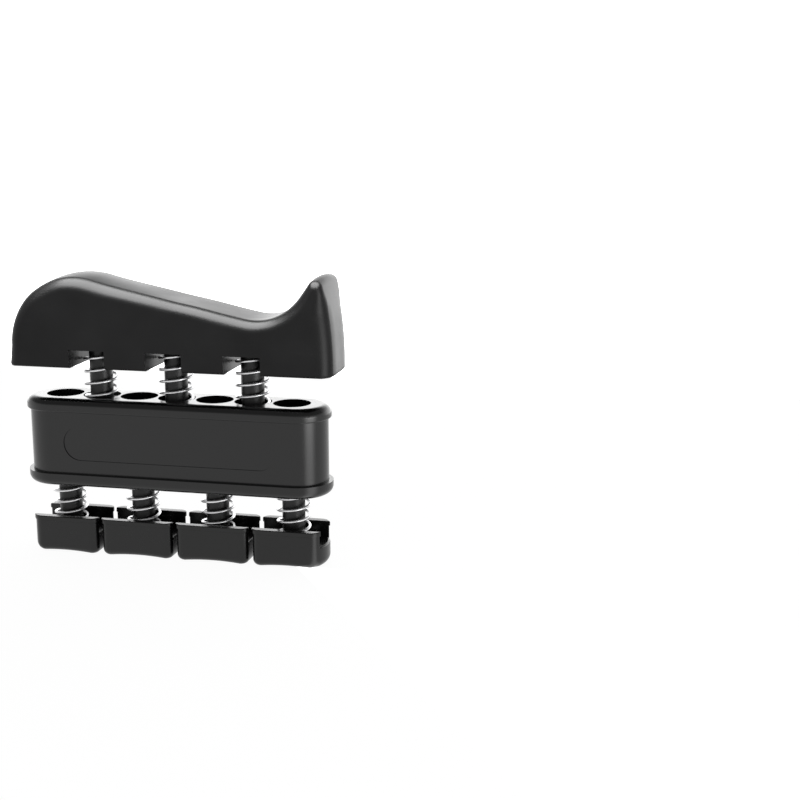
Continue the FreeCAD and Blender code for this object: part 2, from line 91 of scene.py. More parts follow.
# Each spring's pitch, and the height of one strand where it crosses the front.
COILS = {
    "finger_spring_1": (3.2, 14.3),
    "finger_spring_2": (3.1, 13.3),
    "finger_spring_3": (3.1, 13.9),
    "finger_spring_4": (3.25, 15.8),
    "palm_spring_1": (3.5, 52.4),
    "palm_spring_2": (3.27, 53.7),
    "palm_spring_3": (3.27, 53.55),
}

CHANNEL_HALF_WIDTH = 5.0
CHANNEL_FLOOR = 6.2
CHANNEL_REACH = 14.0       # half the length of the channel's cutter: it runs past both ends
CHANNEL_EDGE = 0.2
MOUTH_EDGE = 0.7           # where the channel's floor runs out at its ends
NOSE_RADIUS = 10.4
NOSE_CORNER = 2.9
NOSE_ROUNDING = 2.5        # under the outer end of an end button
SMALLEST_NOSE_CORNER = 1.2
BUTTON_CORNER = 2.1
BUTTON_ROUNDING = 1.7      # under the other sides
SMALLEST_CORNER = 0.6
CORNER_SHARE = 0.6         # how much of an inset a button's corners lose
BUTTON_TOP_EDGE = 0.25
LIP_HEIGHT = 1.35          # of the raised band along the top of each flange
LIP_RELIEF = 0.26
LIP_STEPS = ((-0.02, LIP_RELIEF), (0.1, 0.03), (0.2, 0.0))  # round its lower edge: (height, inset)
MID_LEVEL = 4.5            # a level half way up a button's plain side
GROOVE_DEPTH = 0.45        # of the shallow hollow across a button's underside
GROOVE_HALF_WIDTH = 8.0
GROOVE_FADE = 4.0          # the height at which nothing of it is left

WELD = 0.002               # vertices nearer than this are joined
NEAR = 0.01                # how close counts as being on a plane
LEVEL_WITHIN = 0.1         # how little an edge may rise to count as level
CUTTER_MARGIN = 1.0        # how far a cutter reaches past what it cuts
SHARP = 0.6                # radians: an edge that turns more than this is a corner

# ---------------------------------------------------------------- surface finishes
RUB_PALENESS = 0.25        # how far the rub marks go towards the worn colour
RUB_ROUGHNESS = 0.06       # how much duller they are
CLOUD_ROUGHNESS = 0.03     # how far the roughness wanders with the clouds
SATIN = ((0.0004, 0.0004, 0.00045), (0.0008, 0.0008, 0.00085))  # dark and light

# ---------------------------------------------------------------- how finely the meshes are cut
PALM_CORNER_STEPS = 5
PALM_BOTTOM_STEPS = 30
PALM_EDGE_STEPS = 16       # round the fillets
PALM_FLAT_STEPS = 8        # between them
TURN_STEPS = 44            # round one turn of a spring
WIRE_SIDES = 14
CORNER_STEPS = 8
NOSE_CORNER_STEPS = 10
NOSE_STEPS = 14
SIDE_STEPS = 16            # along a button's straight sides
FOOT_STEPS = 14            # round its foot
TOP_EDGE_STEPS = 4
EDGE_STEPS = 2             # round a softened edge
MOUTH_STEPS = 4

# ---------------------------------------------------------------- the stage
CAMERA_AT = Vector((0.13914, -0.35480, 0.12673))
CAMERA_AZIMUTH = 12.13     # degrees from the front, towards the right
CAMERA_ELEVATION = 12.37
CAMERA_LENS = 62.84        # millimetres, with the sensor's width below
CAMERA_SENSOR = 36.0

FLOOR_REACH = 6.0          # metres to the front and the sides
FLOOR_BACK = 0.25          # metres behind the object, where the bright world takes over
FLOOR_TONE = 0.1
FLOOR_PAPER = 0.01         # how much the tone varies
FLOOR_GLOW = 0.95
POOL_FROM = Vector((33.0, -2.0, 0.0))  # a painted pool of light, glowing in the floor's emission with no lamp behind it, fans out over the floor from here
POOL_AZIMUTHS = (42.0, 72.0)  # degrees from the front, towards the right
POOL_EDGE = 8.0            # degrees, the softness of its sides
POOL_GLOWS = (2.6, 8.5)    # near and far
POOL_RAMP = (0.19, 0.26)   # metres, where near turns into far

WORLD_DIM = 0.3            # overhead
WORLD_PALE = 1.0           # along the horizon
WORLD_BRIGHT = 3.2         # low down behind the object
WORLD_BEHIND = (0.4, 0.75)  # the direction's Y over which the bright part comes in
WORLD_LOW = (0.35, 0.65)   # the direction's Z over which it goes out again
WORLD_HORIZON = (0.22, 0.4)  # the direction's Z over which pale turns into dim

SOFTBOX_ELEVATION = 72.0   # degrees above the front
SOFTBOX_AIM = Vector((0, 0, 0.05))
SOFTBOX_DISTANCE = 1.0     # metres
SOFTBOX_WIDTH = 1.7
SOFTBOX_DEPTH = 1.4
SOFTBOX_RADIANCE = 26.0


# ---------------------------------------------------------------- mesh helpers
def finish_mesh(name, mesh, material, sharp_angle=38.0, weighted=True):
    """An object that shades smoothly, apart from edges sharper than an angle."""
    mesh.materials.clear()
    mesh.materials.append(material)
    mesh.shade_smooth()
    mesh.set_sharp_from_angle(angle=math.radians(sharp_angle))
    piece = bpy.data.objects.new(name, mesh)
    bpy.context.scene.collection.objects.link(piece)
    if weighted:
        modifier = piece.modifiers.new("even_shading", "WEIGHTED_NORMAL")
        modifier.keep_sharp = True
        modifier.weight = 80
    return piece


def loft(name, rings, cap_first=True):
    """A mesh through rings of equal length, in millimetres, closed at its last ring.

    It is closed at its first ring too, unless cap_first is False.
    """
    count = len(rings[0])
    vertices = [Vector(point) * MM for ring in rings for point in ring]
    faces = []
    for r in range(len(rings) - 1):
        for i in range(count):
            j = (i + 1) % count
            faces.append((r * count + i, r * count + j, (r + 1) * count + j, (r + 1) * count + i))
    if cap_first:
        faces.append(tuple(reversed(range(count))))
    last = (len(rings) - 1) * count
    faces.append(tuple(last + i for i in range(count)))
    mesh = bpy.data.meshes.new(name)
    mesh.from_pydata(vertices, [], faces)
    face_outwards(mesh)
    return mesh


def face_outwards(mesh):
    """Makes every face of a closed mesh point outwards."""
    work = bmesh.new()
    work.from_mesh(mesh)
    bmesh.ops.recalc_face_normals(work, faces=work.faces)
    if work.calc_volume(signed=True) < 0:
        bmesh.ops.reverse_faces(work, faces=work.faces)
    work.to_mesh(mesh)
    work.free()


def add_box(work, low, high):
    """A box in a bmesh, between two corners in millimetres."""
    made = bmesh.ops.create_cube(work, size=1.0)["verts"]
    low, high = Vector(low) * MM, Vector(high) * MM
    for vertex in made:
        for axis in range(3):
            vertex.co[axis] = low[axis] if vertex.co[axis] < 0 else high[axis]


def carve(mesh, fill_cutter):
    """The mesh with the solids that fill_cutter adds to a bmesh taken out of it."""
    work = bmesh.new()
    fill_cutter(work)
    cutter_mesh = bpy.data.meshes.new("cutter")
    work.to_mesh(cutter_mesh)
    work.free()
    scene = bpy.context.scene
    cutter = bpy.data.objects.new("cutter", cutter_mesh)
    whole = bpy.data.objects.new("whole", mesh)
    scene.collection.objects.link(cutter)
    scene.collection.objects.link(whole)
    modifier = whole.modifiers.new("cut", "BOOLEAN")
    modifier.operation = "DIFFERENCE"
    modifier.solver = "EXACT"
    modifier.object = cutter
    graph = bpy.context.evaluated_depsgraph_get()
    result = bpy.data.meshes.new_from_object(whole.evaluated_get(graph))
    bpy.data.objects.remove(whole)
    bpy.data.objects.remove(cutter)
    bpy.data.meshes.remove(cutter_mesh)
    result.name = mesh.name
    return result


def sharp(edge):
    """Whether an edge of a bmesh is a corner between two faces."""
    return len(edge.link_faces) == 2 and edge.calc_face_angle() > SHARP


def soften(mesh, offset, chosen, segments=EDGE_STEPS):
    """Bevels the edges that a test picks, by an offset in millimetres."""
    work = bmesh.new()
    work.from_mesh(mesh)
    edges = [edge for edge in work.edges if chosen(edge)]
    bmesh.ops.bevel(
        work,
        geom=edges,
        offset=offset * MM,
        offset_type="OFFSET",
        segments=segments,
        profile=0.5,
        affect="EDGES",
        clamp_overlap=True,
    )
    bmesh.ops.dissolve_degenerate(work, dist=WELD * MM, edges=work.edges)
    bmesh.ops.remove_doubles(work, verts=work.verts, dist=WELD * MM)
    work.to_mesh(mesh)
    work.free()


def polar(angle):
    """A unit vector at an angle in degrees, in a plane."""
    return Vector((math.cos(math.radians(angle)), math.sin(math.radians(angle))))


def smooth(share):
    """0 to 1 with level ends."""
    share = min(1.0, max(0.0, share))
    return share * share * (3.0 - 2.0 * share)


def middle(node):
    """The centre of a CAD node's box, in millimetres."""
    low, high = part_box(node)
    return (low + high) / 2 / MM


def box_mm(node):
    """A CAD node's lowest and highest corners, in millimetres."""
    low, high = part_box(node)
    return low / MM, high / MM


# ---------------------------------------------------------------- materials
def new_material(name):
    """A node material, its nodes, its links and its shader."""
    material = bpy.data.materials.new(name)
    material.use_nodes = True
    tree = material.node_tree
    shader = tree.nodes["Principled BSDF"]
    return material, tree.nodes, tree.links, shader


def noise(nodes, links, coordinate, scale, detail, rough, stretch=None):
    """A noise texture over the object's own coordinates; scale counts features per metre."""
    texture = nodes.new("ShaderNodeTexNoise")
    texture.inputs["Scale"].default_value = scale
    texture.inputs["Detail"].default_value = detail
    texture.inputs["Roughness"].default_value = rough
    source = coordinate.outputs["Object"]
    if stretch is not None:
        mapping = nodes.new("ShaderNodeMapping")
        mapping.inputs["Scale"].default_value = stretch
        links.new(source, mapping.inputs["Vector"])
        source = mapping.outputs["Vector"]
    links.new(source, texture.inputs["Vector"])
    return texture.outputs["Fac"]


def calculate(nodes, links, operation, *values):
    """A math node over numbers and sockets."""
    made = nodes.new("ShaderNodeMath")
    made.operation = operation
    for socket, value in zip(made.inputs, values):
        if isinstance(value, float):
            socket.default_value = value
        else:
            links.new(value, socket)
    return made.outputs[0]


def spread(nodes, links, value, low, high, from_low=0.3, from_high=0.7):
    """A value's range, by default the bulk of a noise's, stretched onto another and held there."""
    ranged = nodes.new("ShaderNodeMapRange")
    ranged.inputs["From Min"].default_value = from_low
    ranged.inputs["From Max"].default_value = from_high
    ranged.inputs["To Min"].default_value = low
    ranged.inputs["To Max"].default_value = high
    links.new(value, ranged.inputs["Value"])
    return ranged.outputs["Result"]


def mix_colour(nodes, links, factor, first, second):
    """A mix of two colours, each a tuple or a socket."""
    mix = nodes.new("ShaderNodeMix")
    mix.data_type = "RGBA"
    links.new(factor, mix.inputs["Factor"])
    for socket, colour in ((mix.inputs[6], first), (mix.inputs[7], second)):
        if isinstance(colour, tuple):
            socket.default_value = colour + (1.0,)
        else:
            links.new(colour, socket)
    return mix.outputs[2]


def bump(nodes, links, height, strength, distance, below=None):
    """A bump from a height, in metres, over another bump."""
    made = nodes.new("ShaderNodeBump")
    made.inputs["Strength"].default_value = strength
    made.inputs["Distance"].default_value = distance
    links.new(height, made.inputs["Height"])
    if below is not None:
        links.new(below, made.inputs["Normal"])
    return made.outputs["Normal"]


def moulded_plastic(name, dark, light, roughness, grain, specular):
    """Moulded black plastic: a fine spark grain, faint flow clouds, and hairline rub marks."""
    material, nodes, links, shader = new_material(name)
    coordinate = nodes.new("ShaderNodeTexCoord")
    clouds = noise(nodes, links, coordinate, scale=90.0, detail=3.0, rough=0.5)
    fine = noise(nodes, links, coordinate, scale=3200.0, detail=3.0, rough=0.6)
    wave = noise(nodes, links, coordinate, scale=70.0, detail=2.0, rough=0.4)
    smear = (0.35, 1.0, 5.0)
    rubs = noise(nodes, links, coordinate, scale=160.0, detail=6.0, rough=0.7, stretch=smear)
    rubbed = spread(nodes, links, rubs, 0.0, 1.0, from_low=0.6, from_high=0.78)
    tone = mix_colour(nodes, links, spread(nodes, links, clouds, 0.0, 1.0), dark, light)
    worn = tuple(channel * 2.0 + 0.0004 for channel in light)
    faint = calculate(nodes, links, "MULTIPLY", rubbed, RUB_PALENESS)
    links.new(mix_colour(nodes, links, faint, tone, worn), shader.inputs["Base Color"])
    cloudy = spread(nodes, links, clouds, roughness - CLOUD_ROUGHNESS, roughness + CLOUD_ROUGHNESS)
    rough = calculate(nodes, links, "MULTIPLY_ADD", rubbed, RUB_ROUGHNESS, cloudy)
    links.new(rough, shader.inputs["Roughness"])
    shader.inputs["Specular IOR Level"].default_value = specular
    grainy = bump(nodes, links, fine, strength=grain, distance=0.00002)
    wavy = bump(nodes, links, wave, strength=0.12, distance=0.0001, below=grainy)
    links.new(wavy, shader.inputs["Normal"])
    return material


def drawn_steel(name, dark, light, roughness, stretch):
    """Plated steel with drawing lines and faint dull spots."""
    material, nodes, links, shader = new_material(name)
    coordinate = nodes.new("ShaderNodeTexCoord")
    lines = noise(nodes, links, coordinate, scale=900.0, detail=4.0, rough=0.6, stretch=stretch)
    spots = noise(nodes, links, coordinate, scale=260.0, detail=3.0, rough=0.6)
    spotty = spread(nodes, links, spots, 0.0, 1.0, from_low=0.35, from_high=0.7)
    links.new(mix_colour(nodes, links, spotty, light, dark), shader.inputs["Base Color"])
    shader.inputs["Metallic"].default_value = 1.0
    rough = spread(nodes, links, lines, roughness - 0.06, roughness + 0.08)
    links.new(rough, shader.inputs["Roughness"])
    links.new(bump(nodes, links, lines, strength=0.25, distance=0.00001), shader.inputs["Normal"])
    return material


palm_plastic = moulded_plastic(
    "palm_matte_black",
    (0.0003, 0.0003, 0.00033),
    (0.0006, 0.0006, 0.00064),
    roughness=0.36,
    grain=0.10,
    specular=0.17,
)
body_plastic = moulded_plastic(
    "body_satin_black", *SATIN, roughness=0.22, grain=0.05, specular=0.48
)
cover_plastic = moulded_plastic(
    "cover_satin_black", *SATIN, roughness=0.24, grain=0.05, specular=0.46
)
button_plastic = moulded_plastic(
    "button_satin_black", *SATIN, roughness=0.28, grain=0.07, specular=0.42
)
post_plastic = moulded_plastic(
    "post_matte_black",
    (0.001, 0.001, 0.0011),
    (0.002, 0.002, 0.0021),
    roughness=0.4,
    grain=0.12,
    specular=0.4,
)
spring_steel = drawn_steel(
    "spring_bright_steel", (0.62, 0.62, 0.63), (0.82, 0.82, 0.83), roughness=0.3, stretch=(1, 1, 4)
)
washer_steel = drawn_steel(
    "washer_zinc", (0.5, 0.5, 0.5), (0.66, 0.66, 0.67), roughness=0.34, stretch=(4, 1, 1)
)
screw_steel = drawn_steel(
    "screw_zinc", (0.42, 0.42, 0.43), (0.6, 0.6, 0.61), roughness=0.3, stretch=(1, 4, 1)
)


# ---------------------------------------------------------------- palm rest
def palm_profile(low, high):
    """The palm rest's top and ends from the front, from the lower left over to the lower right.

    A list of [point, outward normal, fillet radius], in millimetres.
    """
    base, left, right = low.z, low.x + LEFT_LEAN, high.x
    chain = []

    def straight(start, end, angle, count):
        for k in range(count):
            chain.append([start.lerp(end, k / count), polar(angle)])

    def arc(centre, radius, start, end, count, hollow=False):
        side = -1.0 if hollow else 1.0
        for k in range(count):
            angle = start + (end - start) * k / count
            chain.append([centre + polar(angle) * radius * side, polar(angle)])

    dome = Vector((left + DOME_RADIUS, base + DOME_RISE))
    sweep = dome + polar(DOME_FALL) * (DOME_RADIUS + SWEEP_RADIUS)
    valley = sweep - polar(SWEEP_FALL) * (SWEEP_RADIUS - VALLEY_RADIUS)
    climb = 90.0 + HORN_RISE
    slope_start = valley - polar(climb) * VALLEY_RADIUS
    horn_z = base + HORN_CENTRE_RISE
    slope_end_z = horn_z + HORN_RADIUS * polar(climb).y
    run = (slope_end_z - slope_start.y) / math.sin(math.radians(HORN_RISE))
    slope_end = slope_start + polar(HORN_RISE) * run
    horn = slope_end - polar(climb) * HORN_RADIUS
    lean = math.degrees(math.acos((horn.x - right + END_RADIUS) / (END_RADIUS - HORN_RADIUS)))
    end = horn - polar(lean) * (END_RADIUS - HORN_RADIUS)

    straight(Vector((low.x, base)), dome - Vector((DOME_RADIUS, 0)), 180.0, count=5)
    arc(dome, DOME_RADIUS, 180.0, DOME_FALL, count=40)
    arc(sweep, SWEEP_RADIUS, DOME_FALL, SWEEP_FALL, count=26, hollow=True)
    arc(valley, VALLEY_RADIUS, SWEEP_FALL, climb, count=24, hollow=True)
    straight(slope_start, slope_end, climb, count=6)
    horn_first = len(chain)
    arc(horn, HORN_RADIUS, climb, lean, count=22)
    horn_last = len(chain)
    arc(end, END_RADIUS, lean, 0.0, count=22)
    straight(Vector((right, end.y)), Vector((right, base)), 0.0, count=5)

    for spot, normal in chain:
        if normal.y > 0.5:
            spot.y += sum(
                height * math.exp(-(((spot.x - x) / reach) ** 2)) for x, reach, height in SWELLS
            )
    travelled = [0.0]
    for k in range(1, len(chain)):
        travelled.append(travelled[-1] + (chain[k][0] - chain[k - 1][0]).length)
    for k, row in enumerate(chain):
        if k < horn_first:
            away, full = travelled[horn_first] - travelled[k], TOP_FILLET
        else:
            away, full = max(0.0, travelled[k] - travelled[horn_last]), END_FILLET
        row.append(HORN_FILLET + (full - HORN_FILLET) * smooth(away / HORN_REACH))
    return chain


def fillet_inset(radius, y, half_depth):
    """How far a rounded edge has drawn in at a distance from the middle plane."""
    past = max(0.0, abs(y) - (half_depth - radius))
    return radius - math.sqrt(max(0.0, radius * radius - past * past))


def palm_ring(chain, low, high, y, half_depth):
    """The palm rest's outline at one depth, as a closed ring."""
    floor = low.z + fillet_inset(PALM_BASE_FILLET, y, half_depth)
    corner = max(SMALLEST_FILLET, PALM_BASE_FILLET - floor + low.z)
    left = low.x + fillet_inset(chain[0][2], y, half_depth)
    right = high.x - fillet_inset(chain[-1][2], y, half_depth)
    crown = HORN_CROWN * (y / half_depth) ** 2
    horn_z = low.z + HORN_CENTRE_RISE
    ring = []
    for k in range(PALM_CORNER_STEPS):
        swing = polar(270.0 - 90.0 * k / PALM_CORNER_STEPS)
        spot = Vector((left + corner, floor + corner)) + swing * corner
        ring.append((spot.x, y, spot.y))
    for point, normal, radius in chain:
        spot = point - normal * fillet_inset(radius, y, half_depth)
        spot.y -= crown * smooth((point.y - horn_z + HORN_BLEND) / HORN_BLEND)
        ring.append((spot.x, y, max(spot.y, floor + corner)))
    for k in range(1, PALM_CORNER_STEPS + 1):
        swing = polar(-90.0 * k / PALM_CORNER_STEPS)
        spot = Vector((right - corner, floor + corner)) + swing * corner
        ring.append((spot.x, y, spot.y))
    for k in range(1, PALM_BOTTOM_STEPS):
        x = right - corner + (left - right + 2 * corner) * k / PALM_BOTTOM_STEPS
        ring.append((x, y, floor))
    return ring


def build_palm_rest():
    """The palm rest with its rounded edges, and a notch for each post."""
    low, high = box_mm("palm_rest")
    half_depth = high.y
    chain = palm_profile(low, high)
    inner = half_depth - TOP_FILLET
    swings = [math.radians(90.0 * k / PALM_EDGE_STEPS) for k in range(PALM_EDGE_STEPS + 1)]
    front = [-inner - TOP_FILLET * math.cos(swing) for swing in swings]
    between = [-inner + 2 * inner * k / PALM_FLAT_STEPS for k in range(1, PALM_FLAT_STEPS)]
    depths = front + between + [-y for y in reversed(front)]
    mesh = loft("palm_rest_mesh", [palm_ring(chain, low, high, y, half_depth) for y in depths])
    roof = low.z + NOTCH_HEIGHT
    notches = [middle("palm_post_%d" % post).x for post in PALM_POSTS]

    def cutters(work):
        for x in notches:
            add_box(
                work,
                (x - NOTCH_WIDTH / 2, -half_depth - CUTTER_MARGIN, low.z - CUTTER_MARGIN),
                (x + NOTCH_WIDTH / 2, half_depth + CUTTER_MARGIN, roof),
            )

    mesh = carve(mesh, cutters)

    def on_notch(spot):
        x, z = spot.x / MM, spot.z / MM
        off_middle = min(abs(x - notch) for notch in notches)
        on_side = abs(off_middle - NOTCH_WIDTH / 2) < NEAR
        on_roof = off_middle < NOTCH_WIDTH / 2 + NEAR and abs(z - roof) < NEAR
        return z < roof + NEAR and (on_side or on_roof)

    def on_notch_edge(edge):
        return sharp(edge) and all(on_notch(vertex.co) for vertex in edge.verts)

    soften(mesh, NOTCH_EDGE, on_notch_edge)
    piece = finish_mesh("palm_rest_moulding", mesh, palm_plastic)
    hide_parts("palm_rest")
    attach(piece, "palm")


# ---------------------------------------------------------------- springs
def spring_mesh(name, x, low, high, pitch, strand, closed_top):
    """A right-hand coil spring standing on a closed turn, with a closed or an open upper end."""
    bottom = low + WIRE_RADIUS
    top = high - WIRE_RADIUS
    ends = 2 if closed_top else 1
    turns = ends + (top - bottom - ends * CLOSED_PITCH) / pitch
    count = round(turns * TURN_STEPS)

    def pitch_at(turn):
        share = smooth(turn - 0.5)
        if closed_top:
            share = min(share, smooth(turns - turn - 0.5))
        return CLOSED_PITCH + (pitch - CLOSED_PITCH) * share

    heights = [0.0]
    for k in range(count):
        heights.append(heights[-1] + pitch_at(turns * (k + 0.5) / count) * turns / count)
    front_turn = 1.0 + (strand - bottom - CLOSED_PITCH) / pitch
    centres = []
    for k, height in enumerate(heights):
        angle = 2 * math.pi * (turns * k / count - front_turn - 0.25)
        across, away = COIL_RADIUS * math.cos(angle), COIL_RADIUS * math.sin(angle)
        centres.append(Vector((x + across, away, bottom + height)))
    rings = []
    for k, centre in enumerate(centres):
        along = (centres[min(k + 1, count)] - centres[max(k - 1, 0)]).normalized()
        out = Vector((centre.x - x, centre.y, 0)).normalized()
        out = (out - along * out.dot(along)).normalized()
        across = along.cross(out)
        radius = WIRE_RADIUS * (WIRE_END if k in (0, count) else 1.0)
        ring = []
        for side in range(WIRE_SIDES):
            swing = 2 * math.pi * side / WIRE_SIDES
            ring.append(centre + (out * math.cos(swing) + across * math.sin(swing)) * radius)
        rings.append(ring)
    return loft(name, rings)


def build_spring(node):
    """A coil spring in place of the CAD spring node, carried with the body."""
    low, high = box_mm(node)
    centre = middle(node)
    for_finger = node.startswith("finger")
    mesh = spring_mesh(node + "_mesh", centre.x, low.z, high.z, *COILS[node], for_finger)
    piece = finish_mesh(node + "_coil", mesh, spring_steel, sharp_angle=60.0, weighted=False)
    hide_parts(node)
    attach(piece, "body")
    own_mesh(piece)


# ---------------------------------------------------------------- finger buttons
def quarter(corner, start, radius):
    """Points round a quarter circle from an angle in degrees, in a button's plan."""
    angles = [start + 90.0 * k / CORNER_STEPS for k in range(CORNER_STEPS + 1)]
    return [corner + polar(angle) * radius for angle in angles]


def button_plan(length_low, length_high, half_width, corner, nose):
    """A button from above: its front edge, then its back edge at the same x's, going round."""
    front = quarter(Vector((length_low + corner, -half_width + corner)), 180.0, corner)
    if nose is None:
        start_x = length_high - corner
        tail = quarter(Vector((start_x, -half_width + corner)), 270.0, corner)
    else:
        centre_x, radius, fillet = nose
        reach = radius - fillet
        inner_y = half_width - fillet
        start_x = centre_x + math.sqrt(reach * reach - inner_y * inner_y)
        touch = math.degrees(math.asin(inner_y / reach))
        tail = []
        for k in range(NOSE_CORNER_STEPS):
            swing = polar(270.0 + (90.0 - touch) * k / NOSE_CORNER_STEPS)
            tail.append(Vector((start_x, -inner_y)) + swing * fillet)
        for k in range(NOSE_STEPS + 1):
            swing = polar(-touch + touch * k / NOSE_STEPS)
            tail.append(Vector((centre_x, 0)) + swing * radius)
    run = []
    for k in range(1, SIDE_STEPS):
        x = length_low + corner + (start_x - length_low - corner) * k / SIDE_STEPS
        run.append(Vector((x, -half_width)))
    front = front + run + tail
    back = [Vector((spot.x, -spot.y)) for spot in reversed(front)]
    if nose is not None:
        back = back[1:]
    return front, back


def rounding_inset(radius, z):
    """How far a side has drawn in at a height above a rounded underside."""
    below = max(0.0, radius - z)
    return radius - math.sqrt(max(0.0, radius * radius - below * below))


def button_levels(top):
    """Heights up a button, each with how far its sides stand back there."""
    levels = []
    for k in range(FOOT_STEPS + 1):
        swing = math.radians(90.0 * k / FOOT_STEPS)
        levels.append((NOSE_ROUNDING * (1 - math.cos(swing)), LIP_RELIEF))
    levels.append((MID_LEVEL, LIP_RELIEF))
    levels += [(top - LIP_HEIGHT + rise, inset) for rise, inset in LIP_STEPS]
    for k in range(TOP_EDGE_STEPS + 1):
        swing = math.radians(90.0 * k / TOP_EDGE_STEPS)
        inset = BUTTON_TOP_EDGE * (1 - math.cos(swing))
        levels.append((top - BUTTON_TOP_EDGE * (1 - math.sin(swing)), inset))
    return levels


def build_button(finger):
    """A finger button: rounded foot, lipped flanges, open channel; the outer two have a bowed end."""
    node = "finger_button_%d" % finger
    low, high = box_mm(node)
    post_x = middle("finger_post_%d" % finger).x
    at_end = finger in (FINGERS[0], FINGERS[-1])
    flip = -1.0 if finger == FINGERS[0] else 1.0
    reaches = sorted((post_x - low.x, high.x - post_x), reverse=True)
    inner, outer = reaches if at_end else (reaches[0], reaches[0])
    half_width, top = high.y, high.z
    rings = []
    for z, relief in button_levels(top):
        inset = relief + rounding_inset(BUTTON_ROUNDING, z)
        end_inset = relief + rounding_inset(NOSE_ROUNDING, z)
        corner = max(SMALLEST_CORNER, BUTTON_CORNER - CORNER_SHARE * inset)
        nose = None
        if at_end:
            nose_corner = max(SMALLEST_NOSE_CORNER, NOSE_CORNER - end_inset)
            nose = (outer - NOSE_RADIUS, NOSE_RADIUS - end_inset, nose_corner)
        front, back = button_plan(-(inner - inset), outer - inset, half_width - inset, corner, nose)
        ring = []
        for spot in front + back:
            share = max(0.0, 1 - (spot.x / GROOVE_HALF_WIDTH) ** 2) * max(0.0, 1 - z / GROOVE_FADE)
            ring.append((post_x + flip * spot.x, flip * spot.y, z + GROOVE_DEPTH * share))
        rings.append(ring)
    mesh = loft(node + "_mesh", rings, cap_first=False)
    close_underside(mesh, len(front), len(back))

    def cutters(work):
        add_box(
            work,
            (post_x - CHANNEL_REACH, -CHANNEL_HALF_WIDTH, CHANNEL_FLOOR),
            (post_x + CHANNEL_REACH, CHANNEL_HALF_WIDTH, top + 2 * CUTTER_MARGIN),
        )

    mesh = carve(mesh, cutters)

    def on_wall(spot):
        return abs(abs(spot.y / MM) - CHANNEL_HALF_WIDTH) < NEAR

    def on_rim(edge):
        first, last = (vertex.co for vertex in edge.verts)
        level = abs(first.z - last.z) < LEVEL_WITHIN * MM
        above_floor = first.z / MM > CHANNEL_FLOOR + NEAR
        return sharp(edge) and level and above_floor and on_wall(first) and on_wall(last)

    def on_mouth(edge):
        first, last = (vertex.co for vertex in edge.verts)
        on_floor = max(abs(first.z / MM - CHANNEL_FLOOR), abs(last.z / MM - CHANNEL_FLOOR)) < NEAR
        return sharp(edge) and on_floor and not (on_wall(first) and on_wall(last))

    soften(mesh, CHANNEL_EDGE, on_rim)
    soften(mesh, MOUTH_EDGE, on_mouth, segments=MOUTH_STEPS)
    piece = finish_mesh(node + "_moulding", mesh, button_plastic)
    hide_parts(node)
    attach(piece, "finger_%d" % finger)


def close_underside(mesh, front_count, back_count):
    """Closes a lofted button's first ring with strips from its front edge to its back edge."""
    work = bmesh.new()
    work.from_mesh(mesh)
    work.verts.ensure_lookup_table()
    total = front_count + back_count
    for k in range(front_count - 1):
        corners = []
        for index in (k, k + 1, total - 2 - k, total - 1 - k):
            if index not in corners:
                corners.append(index)
        if len(corners) > 2:
            work.faces.new([work.verts[index] for index in corners])
    work.to_mesh(mesh)
    work.free()
    face_outwards(mesh)


# ---------------------------------------------------------------- CAD nodes that stay
def dress_nodes():
    """Gives the CAD nodes that stay in view their materials."""
    finishes = {
        "body_shell": body_plastic,
        "bottom_cover": cover_plastic,
        "palm_washers": washer_steel,
        "palm_screws": screw_steel,
    }
    for post in PALM_POSTS:
        finishes["palm_post_%d" % post] = post_plastic
    for finger in FINGERS:
        finishes["finger_post_%d" % finger] = post_plastic
        finishes["finger_washer_%d" % finger] = washer_steel
        finishes["finger_screw_%d" % finger] = screw_steel
    for name, material in finishes.items():
        node = frame["nodes"][name]
        if not node.material_slots:
            node.data.materials.append(material)
        for slot in node.material_slots:
            slot.material = material


# ---------------------------------------------------------------- stage
def build_camera():
    """The camera, aimed by its azimuth and elevation."""
    data = bpy.data.cameras.new("camera")
    data.lens = CAMERA_LENS
    data.sensor_width = CAMERA_SENSOR
    camera = bpy.data.objects.new("camera", data)
    azimuth, elevation = math.radians(CAMERA_AZIMUTH), math.radians(CAMERA_ELEVATION)
    back = Vector(
        (
            math.sin(azimuth) * math.cos(elevation),
            -math.cos(azimuth) * math.cos(elevation),
            math.sin(elevation),
        )
    )
    camera.location = CAMERA_AT
    camera.rotation_mode = "QUATERNION"
    camera.rotation_quaternion = (-back).to_track_quat("-Z", "Y")
    bpy.context.scene.collection.objects.link(camera)
    bpy.context.scene.camera = camera


def painted_light_pool(nodes, links, coordinate):
    """The floor's glow: even, apart from a painted pool of light, a wedge of extra glow that
    brightens with distance from its point.
    """
    place = nodes.new("ShaderNodeMapping")
    place.inputs["Location"].default_value = POOL_FROM * -MM
    links.new(coordinate.outputs["Object"], place.inputs["Vector"])
    split = nodes.new("ShaderNodeSeparateXYZ")
    links.new(place.outputs["Vector"], split.inputs["Vector"])
    turn = calculate(nodes, links, "ARCTAN2", split.outputs["Y"], split.outputs["X"])
    low, high = (math.radians(angle - 90.0) for angle in POOL_AZIMUTHS)
    edge = math.radians(POOL_EDGE)
    past_low = spread(nodes, links, turn, 0.0, 1.0, low - edge, low + edge)
    before_high = spread(nodes, links, turn, 1.0, 0.0, high - edge, high + edge)
    inside = calculate(nodes, links, "MULTIPLY", past_low, before_high)
    away = nodes.new("ShaderNodeVectorMath")
    away.operation = "LENGTH"
    links.new(place.outputs["Vector"], away.inputs[0])
    # the painted pool of light: extra glow in the floor itself, no lamp
    near, far = (level - FLOOR_GLOW for level in POOL_GLOWS)
    extra = spread(nodes, links, away.outputs["Value"], near, far, *POOL_RAMP)
    return calculate(nodes, links, "MULTIPLY_ADD", inside, extra, FLOOR_GLOW)


